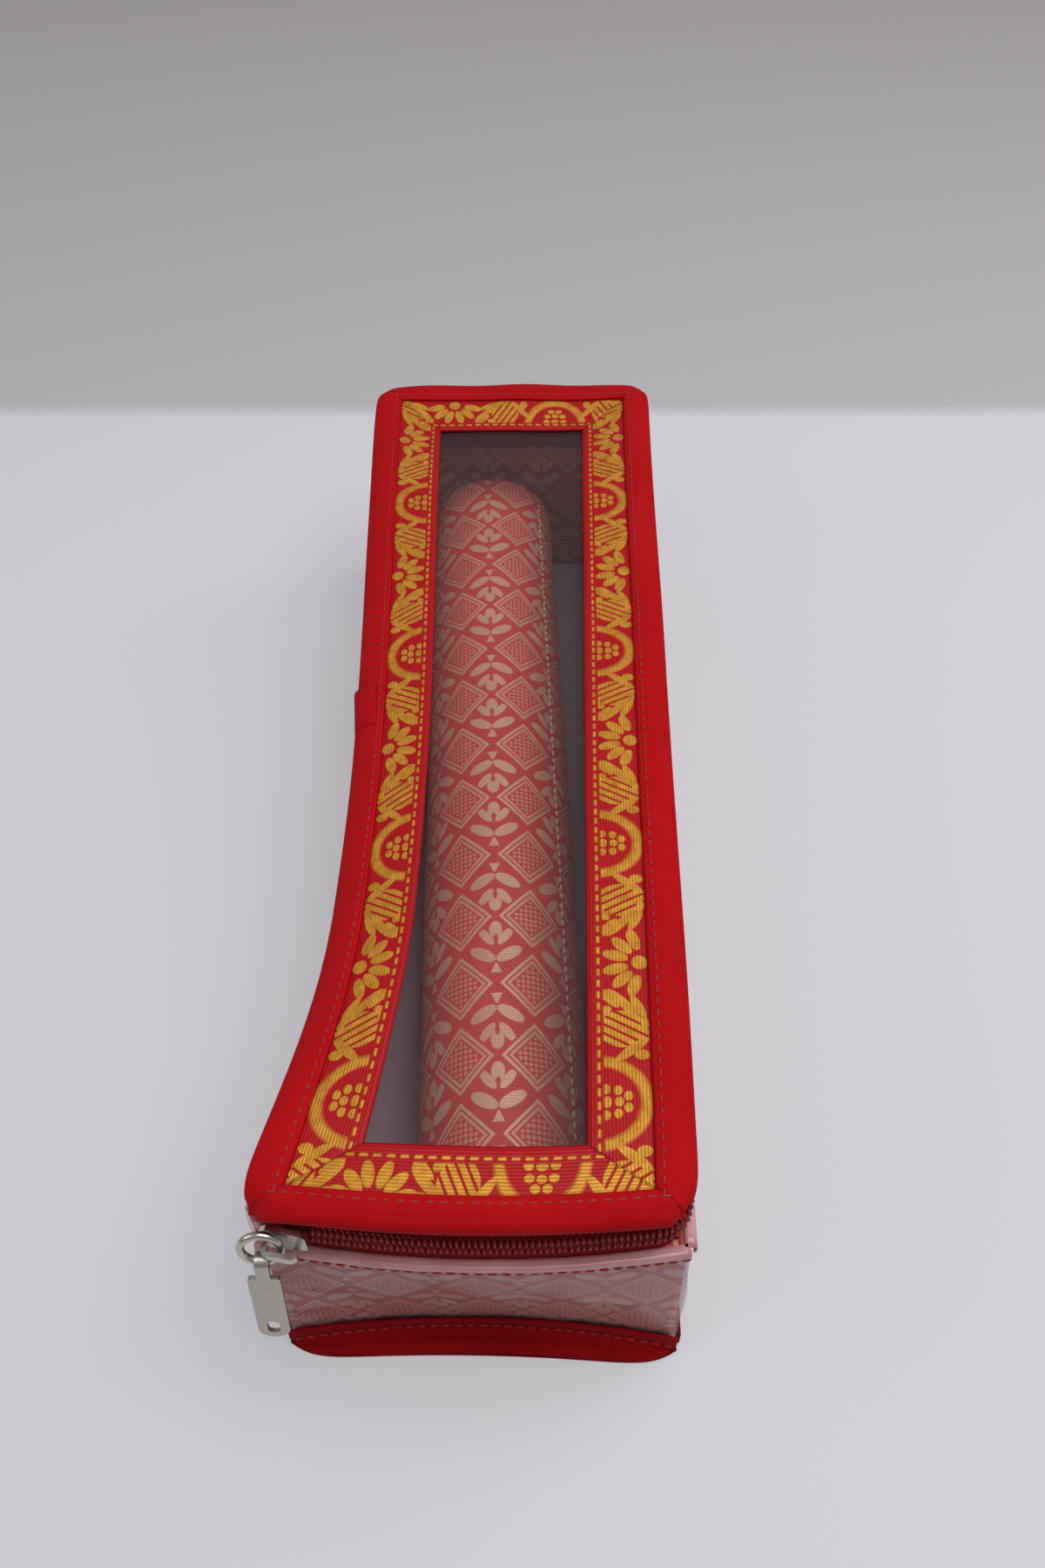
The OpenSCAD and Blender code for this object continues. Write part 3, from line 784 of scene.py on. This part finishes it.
def base_binding(side):
    """Cotton folded over the foot seam: a soft flange on the table and a leg up the wall. At
    the front the flange follows the wall's drawn-in foot and lifts off the table."""
    flange = FLANGE[side]
    front = side == "front"

    def section_at(s, t):
        wave = 0.4 * ripple(s * 9, 1.0, 3)
        if t < LEG_SHARE:
            z = lerp(LEG_TOP, FOOT_FOLD_Z, t / LEG_SHARE) + wave * 0.4
            return wall_point(side, s, z, LEG_OFF + 0.3 * sin(pi * t / LEG_SHARE))
        tucked = 0.25 + 0.75 * (1.0 - abs(2 * s - 1) ** 10) if front else 1.0
        arc = FOOT_DRAW * (1 - (2 * s - 1) ** 2) if front else 0.0
        lift = FRONT_LIFT * bell(s - 0.5, 0.28) if front else SIDE_LIFT
        k = (t - LEG_SHARE) / (1 - LEG_SHARE)
        fold = 0.63 * sin(pi * min(k * 1.6, 1.0))
        z = lerp(FOOT_FOLD_Z, FLANGE_Z + lift + wave, smooth(k)) - fold
        x, y, _ = wall_point(side, s, BASE, lerp(FOOT_FOLD_OFF, flange * tucked + arc * 0.55, k))
        return (x, y, max(z, FLANGE_LEAST_Z))

    def under_at(s, t):
        x, y, _ = section_at(s, lerp(1.0, 0.45, t))
        return (x, y, lerp(0.7, 0.4, t))

    # Its cotton is coloured darker than the lid's: painted shade.
    piece = cloth_piece(f"base_binding_cloth_{side}", lambda s, t: section_at(s, 1 - t),
                        90, 22, FOOT_COTTON_T, SHADED_FOOT_COTTON, "case")
    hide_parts(f"base_binding_{side}")
    under = cloth_piece(f"base_binding_under_{side}", under_at, 90, 6, UNDER_T, SHADED_FOOT_COTTON, "case")
    line = []
    for s in shares(160):
        x, y, z = section_at(lerp(0.02, 0.98, s), 0.42)
        line.append((x, y, z + 0.1))
    row_along(f"foot_stitches_{side}", STITCHES, line, "case", "cotton", Thread=THREAD)


# The lid

# How far in from the hinged edge the sag reaches, and how much of the dent the frame's cloth
# takes up before the window's film
SAG_REACH = 26
FRAME_GIVE = 0.2

# How far back from the front edge the belly reaches, and the slope and length of the roll there
BELLY_REACH = 45
FRONT_ROLL = 0.12
FRONT_ROLL_REACH = 8

# The dip inside the far strip, and how high and wide its edge's waves are, and how far in they
# die out. The rest of the frame is uneven too, by less
FAR_DIP = 2.6
FAR_DIP_REACH = 25
FAR_WAVE_Z = 0.5
FAR_WAVE_Y = 0.9
FAR_WAVE_REACH = 18
LID_UNEVEN_Z = 0.3
LID_UNEVEN_X = 0.4

# Each corner: its way in x and y, how far it is drawn in sideways and how far it sinks. Then how
# far that reaches, how far the very tip reaches, and how far the tip is drawn in
LID_CORNERS = ((-1, -1, 0.6, 3.0), (1, -1, 1.5, 0.8), (-1, 1, 1.0, 0.5), (1, 1, 0.8, 0.4))
CORNER_SOFT = 6.0
CORNER_TIP = sqrt(8)
TIP_ROUND = 1.6

# The lace and the binding on the lid: where the lace starts and how far below the top it lies,
# each cloth's thickness, and how deep the binding's fold is at the front, the sides and its lap
LACE_EDGE = 3.0
LACE_RISE = -0.7
LACE_T = 0.7
BIND_T = 0.7
BIND_FRONT = 6.2
FRONT_CURL = 5.0
SIDE_CURL = 3.1
LAP_CURL = 3.6


def lid_surface(x, y, rise=0.0):
    """Where a point of the flat lid, seen from above, comes on the real one: the hinged side is
    pushed in and sags, the front bellies, the far strip dips inwards, and the corners are soft."""
    share = dent_share(y)
    inset = x + LID_W
    from_front = y + LID_L
    from_far = LID_L - y
    if inset < SIDE_FRAME:
        hold = 1 - FRAME_GIVE * inset / SIDE_FRAME
    else:
        hold = (1 - FRAME_GIVE) * (LID_W - SIDE_FRAME - x) / (2 * (LID_W - SIDE_FRAME))
    z = LID_TOP - LEFT_DROP * share * max(1 - inset / SAG_REACH, 0) ** 1.2
    z -= FRONT_ROLL * max(FRONT_ROLL_REACH - from_front, 0)
    dip = smooth(from_far / SIDE_FRAME) * smooth((LID_W - abs(x)) / SIDE_FRAME)
    z -= FAR_DIP * dip * exp(-max(from_far - SIDE_FRAME, 0) / FAR_DIP_REACH)
    wave = exp(-max(from_far, 0) / FAR_WAVE_REACH)
    z += LID_UNEVEN_Z * ripple(x / 11, y / 24, 3) + FAR_WAVE_Z * wave * ripple(x / 9, 0.4, 4)
    belly = LID_BELLY * (1 - (x / LID_W) ** 2) * smooth((BELLY_REACH - from_front) / BELLY_REACH)
    uneven = LID_UNEVEN_X * ripple(y / 35, 0.4, 6) * (inset / LID_W - 1)
    moved_x = x + DENT * share * max(hold, 0) + uneven
    moved_y = y - belly + FAR_WAVE_Y * wave * ripple(x / 13, 0.2, 2)
    for way_x, way_y, drawn, sink in LID_CORNERS:
        away = hypot(x - way_x * LID_W, y - way_y * LID_L)
        close = bell(away, CORNER_SOFT)
        tip = TIP_ROUND * bell(away, CORNER_TIP)
        moved_x -= (drawn * close + tip) * way_x
        moved_y -= tip * way_y
        z -= sink * close
    return (moved_x, moved_y, z + rise)


def run_along(side, t, inset):
    """Where t lies along a side of the frame, in millimetres from the lid's middle line. The
    sides meet in mitres, so a line further in is shorter."""
    if side in ENDS:
        wide = inset * SIDE_FRAME / FRONT_FRAME if side == "front" else inset
        return lerp(wide - LID_W, LID_W - wide, t)
    return lerp(inset * FRONT_FRAME / SIDE_FRAME - LID_L, LID_L - inset, t)


def frame_length(side, inset):
    return abs(run_along(side, 1, inset) - run_along(side, 0, inset))


def lid_point(side, t, inset, rise=0.0):
    """A point of the lid's frame: t runs along a side between the mitres, inset in from its edge."""
    run = run_along(side, t, inset)
    if side in ENDS:
        return lid_surface(run, inset - LID_L if side == "front" else LID_L - inset, rise)
    return lid_surface((inset - LID_W) * (1 if side == "left" else -1), run, rise)


def lid_cloth(name, side, across, steps, rows, thick, material, uv=None):
    """A strip of the lid's frame; across(t) gives its inset and its rise. The back and the left
    side run the other way, so that their faces point outwards too."""
    ahead = side in ("front", "right")

    def strip_at(s, t):
        inset, rise = across(t)
        return lid_point(side, s if ahead else 1 - s, inset, rise)

    turned = (lambda s, t: uv(s if ahead else 1 - s, t)) if uv else None
    return cloth_piece(name, strip_at, steps, rows, thick, material, "lid", turned)


def lace(side):
    full = FRONT_FRAME if side == "front" else SIDE_FRAME
    steps = 60 if side in ENDS else 200

    def across(t):
        return lerp(LACE_EDGE, full, t), LACE_RISE + 0.25 * sin(pi * t)

    def pattern_at(s, t):
        inset = lerp(LACE_EDGE, full, t)
        return (inset - (full - LACE_WIDE), run_along(side, s, inset) + LACE_START)

    piece = lid_cloth(f"lace_trim_{side}", side, across, steps, 14, LACE_T, LACE, pattern_at)
    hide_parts(f"lace_{side}")
    cloth_sheet(piece, frame_length(side, 8))


def binding_across(width, curl):
    """A folded binding in section: over the top, round the edge and back under. It returns what
    gives the inset and the rise at t; curl is how far below its top the under side lies."""
    radius = 1.5
    base = 0.15
    over, round_edge = 0.5, 0.8

    def across(t):
        if t < over:
            k = t / over
            return lerp(width, radius, k), base + 0.75 * sin(pi * k) ** 0.7
        if t < round_edge:
            a = pi * (t - over) / (round_edge - over)
            return radius - (radius + 0.5) * sin(a), base - curl * (1 - cos(a)) / 2
        k = (t - round_edge) / (1 - round_edge)
        return lerp(radius, width * 0.7, k), base - curl

    return across


def binding(side):
    width = BIND_FRONT if side == "front" else BIND
    steps = 90 if side in ENDS else 240
    section = binding_across(width, FRONT_CURL if side == "front" else SIDE_CURL)
    piece = lid_cloth(f"lid_binding_cloth_{side}", side, lambda t: section(1 - t), steps, 26,
                      BIND_T, COTTON)
    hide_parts(f"lid_binding_{side}")
    cloth_sheet(piece, frame_length(side, 2))
    seam_inset, seam_rise = width - 1.8, 0.75
    line = [lid_point(side, s, seam_inset, seam_rise) for s in shares(240)]
    row_along(f"lid_stitches_{side}", STITCHES, line, "lid", "cotton", Thread=THREAD)


def binding_overlap():
    """The binding's cut end, turned in and lapped over its start."""
    near_end, far_end = -11.0, 3.0
    section = binding_across(BIND, LAP_CURL)

    def overlap_at(s, t):
        back = 1 - s
        y = lerp(far_end, near_end, back)
        inset, rise = section(1 - 0.8 * t)
        x, _, z = lid_point("left", (y + LID_L) / (2 * LID_L), inset, rise + 0.35 - 0.5 * back)
        return (x - 0.3 + 0.9 * back, y, z)

    piece = cloth_piece("binding_overlap", overlap_at, 12, 20, BIND_T, COTTON, "lid")
    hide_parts("binding_join")


def window():
    """The clear film, held under the lace and drawn slightly down between its sides, with a
    sharp crease near the front and a soft one along its middle."""
    side_inset, near_inset, far_inset = 6, 5, 6
    below, sag, uneven = -1.9, 0.9, 0.3
    sharp, sharp_x, sharp_y = 1.1, 12.92, -106
    soft, soft_x = 0.5, -12

    def film_at(s, t):
        x = lerp(side_inset - LID_W, LID_W - side_inset, s)
        y = lerp(near_inset - LID_L, LID_L - far_inset, t)
        mid = sin(pi * s) * sin(pi * t)
        slant = sharp_x + 0.08 * (y - sharp_y)
        rise = below + sharp * bell(x - slant, 1.9) * bell(y - sharp_y, 17)
        rise += mid * (soft * bell(x - soft_x, 3.0) + uneven * ripple(x / 9, y / 22, 8) - sag)
        return lid_surface(x, y, rise)

    film = cloth_piece("window_sheet", film_at, 40, 110, FILM_T, WINDOW, "lid")
    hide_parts("window_film")
    cloth_sheet(film, 2 * LID_L - near_inset - far_inset)


def hinge_cloth():
    """The cotton strip that is the hinge: sewn to the wall's top, over the edge and under the lid's
    binding."""
    end_gap = 3
    on_wall = 0.6
    deep, reach = 10, 7

    def strip_at(s, t):
        y = lerp(HALF_L - end_gap, -HALF_L + end_gap, s)
        along = (HALF_L - y) / (2 * HALF_L - LEAN)
        if t < on_wall:
            return wall_point("left", along, lerp(LEFT_TOP - deep, LEFT_TOP, t / on_wall), 0.5 * t)
        x, _, z = wall_point("left", along, LEFT_TOP)
        k = (t - on_wall) / (1 - on_wall)
        return (x + reach * k, y, z + 0.35 + 0.3 * sin(pi * k))

    piece = cloth_piece("hinge_cloth", strip_at, 120, 16, 0.35, COTTON)
    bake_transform(piece)
    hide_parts("hinge_tape")
    cloth_sheet(piece, 2 * (HALF_L - end_gap))


# The zip

# Each row of the coil: its body, its way from the chain's middle, and where it starts at the
# left of the front. The lid's row starts past the parked slider
COIL_ROWS = (("lower", "case", -1, -44.0 + PITCH / 2), ("upper", "lid", 1, -32.5))
COIL_FROM_MIDDLE = 1.75
COIL_OUT = TAPE_T / 2 + 1.0
COIL_SEAM_OUT = TAPE_T / 2 + 0.3
COIL_SEAM = 3.6


def bend(x, y, start, end):
    """The zip's way round a corner, about (x, y) from one angle to the other."""
    turns = [lerp(start, end, k) for k in shares(8)]
    return [(x + CORNER_R * cos(a), y + CORNER_R * sin(a)) for a in turns]


def zip_line(start, step=2.0):
    """The zip's way in plan from the left front corner round to the left far corner, as three
    lines: the front, the right side with its near corner, and the back with its far corner."""
    band_y = HALF_L - LEAN - WALL / 2
    arc_r = HALF_W ** 2 / (2 * BELLY)
    arc_y = arc_r - band_y - BELLY
    band_x = HALF_W - WALL / 2
    run = band_x - CORNER_R
    far = HALF_L - WALL / 2
    front = []
    x = start
    while x < run - step / 2:
        front.append((x, arc_y - sqrt(arc_r ** 2 - x * x)))
        x += step
    low = arc_y - sqrt(arc_r ** 2 - run * run) + CORNER_R
    high = far - CORNER_R
    side = [(band_x, lerp(low + 3, high - 3, k)) for k in shares(60)]
    back = [(lerp(run - 3, -band_x, k), far) for k in shares(40)]
    near_corner = bend(run, low, asin(run / arc_r) - pi / 2, 0)
    far_corner = bend(run, high, 0, pi / 2)
    return front, near_corner + side, far_corner + back


def pushed_out(line, d, z):
    """A line moved to its outer side by d, at height z."""
    out = []
    for i, (x, y) in enumerate(line):
        a, b = line[max(i - 1, 0)], line[min(i + 1, len(line) - 1)]
        dx, dy = b[0] - a[0], b[1] - a[1]
        n = hypot(dx, dy)
        out.append((x + d * dy / n, y - d * dx / n, z))
    return out


def coils():
    for row, body, way, start in COIL_ROWS:
        z = CHAIN_Z + way * COIL_FROM_MIDDLE
        front, right, back = zip_line(start)
        lines = {"front": front + right[:1], "right": right + back[:1], "back": back}
        for side, line in lines.items():
            turns = row_along(f"coil_turns_{row}_{side}", COILS, pushed_out(line, COIL_OUT, z), body,
                              "coil", Nylon=COIL)
            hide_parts(f"zip_coil_{row}_{side}")
            seam = pushed_out(line, COIL_SEAM_OUT, z + way * COIL_SEAM)
            row_along(f"coil_stitches_{row}_{side}", STITCHES, seam, body, "zip_tape", Thread=TAPE)


# The rod

# The angle from the right at which its seam lies, and the rounding of its ends
SEAM_ANGLE = 38
END_ROUND = 5


def rod_place(a, r, s):
    """A point of the rod: angle a, radius r, and s along it from its middle."""
    x, z = r * cos(a), r * sin(a)
    t = radians(ROD_SKEW)
    across, along = x * cos(t) - s * sin(t), x * sin(t) + s * cos(t)
    return (ROD_X + across, ROD_Y + along, FLOOR + ROD_GAP + ROD_R + z)


def rod():
    """The cloth cover with its closed ends, and the row of pale stitches along its seam."""
    half = ROD_L / 2 - CAP
    around, steps = 96, 150
    turns = [k * pi / 16 for k in range(1, 8)]
    cap = [(CAP * sin(a), ROD_R - END_ROUND + END_ROUND * cos(a)) for a in turns]
    cap += [(CAP, r) for r in (15, 12, 8, 4, 0.4)]
    profile = [(-half - a, r) for a, r in reversed(cap)]
    profile += [(lerp(-half, half, k), ROD_R) for k in shares(steps)]
    profile += [(half + a, r) for a, r in cap]
    points, uvs, faces = [], [], []
    travel = 0.0
    last = profile[0]
    for s, r in profile:
        travel += hypot(s - last[0], r - last[1])
        last = (s, r)
        for i in range(around + 1):
            a = tau * i / around
            sunk = 0.25 * (0.5 + 0.5 * ripple(a * 2, s / 28, 5)) if r > 20 else 0.0
            points.append(rod_place(-a - pi / 2, r - sunk, s))
            uvs.append((a * ROD_R, travel))
    row = around + 1
    for j in range(len(profile) - 1):
        for i in range(around):
            k = j * row + i
            faces.append((k, k + row, k + row + 1, k + 1))
    faces.append(tuple(range(around - 1, -1, -1)))
    end = (len(profile) - 1) * row
    faces.append(tuple(range(end, end + around)))
    cover = mesh_object("rod_brocade", points, faces, ROD_BROCADE, uvs)
    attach(cover, "rod")
    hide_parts("rod_cover", "rod_cap_far", "rod_cap_near")
    seam_way = [lerp(2 - half, half - 2, k) for k in shares(200)]
    line = [rod_place(radians(SEAM_ANGLE), ROD_R + 0.1, s) for s in seam_way]
    seam = row_along("rod_seam_stitches", STITCHES, line, "rod", "lace", Thread=PALE_THREAD)
    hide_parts("rod_seam")


def finish_nodes():
    """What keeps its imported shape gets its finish."""
    finishes = {
        # The lining's card is coloured darker than it is: painted shade.
        "base_cover": BROCADE, "base_board": BOARD, "base_lining": SHADED_LINING,
        "slider_body": NICKEL, "slider_bridge": NICKEL, "pull_link": NICKEL, "pull_tab": TAB_NICKEL,
        "rod_tube": TUBE,
    }
    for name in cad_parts:
        if name.startswith("zip_tape"):
            finishes[name] = TAPE
    for name, material in finishes.items():
        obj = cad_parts[name]
        obj.data.materials.clear()
        obj.data.materials.append(material)


# The camera, the table and the lights

# The camera's place, its turns in degrees, and its focal length in the photograph's pixels
CAMERA_AT = Vector((19.961, -261.217, 337.131))
CAMERA_PITCH = 48.742
CAMERA_YAW = -2.932
CAMERA_ROLL = -1.881
FOCAL_PX = 1519.3
FRAME_W = 1200
FRAME_H = 1800
SENSOR = 36.0
CLIP_START = 10

# The pixel row at which the pale table ends and the grey behind it begins, half the table's size, the
# length over which the grey is painted darker further back, and the length over which the table is
# painted darker towards the camera, which is also how far before the line that change starts. Both
# darkenings are painted shade
TABLE_END_PX = 472
TABLE_HALF = 9000
GREY_FADE = 900
SHADE_FADE = 500


def camera_axes():
    pitch, yaw, roll = radians(CAMERA_PITCH), radians(CAMERA_YAW), radians(CAMERA_ROLL)
    look = Vector((sin(yaw) * cos(pitch), cos(yaw) * cos(pitch), -sin(pitch)))
    right = Vector((cos(yaw), -sin(yaw), 0))
    up = right.cross(look)
    return look, right * cos(roll) + up * sin(roll), up * cos(roll) - right * sin(roll)


def camera():
    look, right, up = camera_axes()
    data = bpy.data.cameras.new("camera")
    data.sensor_width = SENSOR
    data.lens = FOCAL_PX / FRAME_H * SENSOR
    data.clip_start = CLIP_START * MM
    obj = link_object("camera", data)
    turn = Matrix((right, up, -look)).transposed().to_4x4()
    obj.matrix_world = Matrix.Translation(CAMERA_AT * MM) @ turn
    bpy.context.scene.camera = obj


def on_table(px, py):
    """The point of the table that shows at a pixel of the photograph."""
    look, right, up = camera_axes()
    ray = look + right * ((px - FRAME_W / 2) / FOCAL_PX) - up * ((py - FRAME_H / 2) / FOCAL_PX)
    return CAMERA_AT - ray * (CAMERA_AT.z / ray.z)


def table_paint(away, start):
    """Matt white table that turns into the grey sweep behind it, past the given line. Both are painted
    darker away from the line, as painted shade. The camera sees half of it as its own light, so that it
    stays pale."""
    material, tree, shader, output = new_material("matt_sweep")
    x, y, _ = surface_mm(tree, "Object")
    past = x * away.x + y * away.y - start
    # The grey darkens further back, and the table towards the camera: painted shade.
    sweep = blend_colours(tree, (past / GREY_FADE).clipped(), "#B4B1B4", "#A09A9B")
    near = ((past * -1.0 - SHADE_FADE) / SHADE_FADE).clipped()
    white = blend_colours(tree, near, "#CECDD1", "#B9B5B7")
    tone = blend_colours(tree, past.below(0.0, 10.0), sweep, white)
    connect(tree, shader, Base_Color=tone, Roughness=0.9)
    glow = add(tree, "ShaderNodeEmission", Color=tone, Strength=1.0)
    share = Field(tree, add(tree, "ShaderNodeLightPath").outputs["Is Camera Ray"]) * 0.5
    mix = add(tree, "ShaderNodeMixShader", i0=share, i1=shader.outputs[0], i2=glow.outputs[0])
    connect(tree, output, Surface=mix.outputs[0])
    return material


def stage():
    left, right = on_table(0, TABLE_END_PX), on_table(FRAME_W, TABLE_END_PX)
    along = (right - left).normalized()
    away = Vector((-along.y, along.x, 0))
    ways = ((-1, -1), (1, -1), (1, 1), (-1, 1))
    corners = [(x * TABLE_HALF, y * TABLE_HALF, 0) for x, y in ways]
    mesh_object("table_top", corners, [(0, 1, 2, 3)], table_paint(away, left.dot(away)))


def lamp(name, at, target, size, power):
    data = bpy.data.lights.new(name, "AREA")
    data.shape = "RECTANGLE"
    data.size, data.size_y = size[0] * MM, size[1] * MM
    data.energy = power
    aim = (Vector(target) - Vector(at)).to_track_quat("-Z", "Y").to_matrix().to_4x4()
    link_object(name, data).matrix_world = Matrix.Translation(Vector(at) * MM) @ aim


def lights():
    """A soft grey room, which the camera sees as the grey of the backdrop, and three softboxes."""
    world = bpy.data.worlds.new("room")
    bpy.context.scene.world = world
    world.use_nodes = True
    tree = world.node_tree
    tree.nodes.clear()
    ambient = add(tree, "ShaderNodeBackground", Color=colour("#E8E8EE"), Strength=0.34)
    seen = add(tree, "ShaderNodeBackground", Color=colour("#A09A9B"), Strength=1.0)
    ray = add(tree, "ShaderNodeLightPath").outputs["Is Camera Ray"]
    mix = add(tree, "ShaderNodeMixShader", i0=ray, i1=ambient.outputs[0], i2=seen.outputs[0])
    add(tree, "ShaderNodeOutputWorld", Surface=mix.outputs[0])
    lamp("key_softbox", at=(250, -150, 950), target=(0, 0, 40), size=(650, 650), power=7.0)
    lamp("fill_softbox", at=(-700, -300, 600), target=(0, -40, 40), size=(600, 500), power=1.2)
    lamp("side_softbox", at=(650, 300, 600), target=(0, 60, 40), size=(400, 400), power=1.6)


camera()
finish_nodes()
for side in SIDES:
    wall(side)
for side in ("front", "right", "back"):
    film_hem_piece(side)
for make_piece in (base_binding, lace, binding):
    for side in SIDES:
        make_piece(side)
binding_overlap()
window()
hinge_cloth()
coils()
rod()
stage()
lights()
bpy.context.scene.view_settings.view_transform = "Standard"
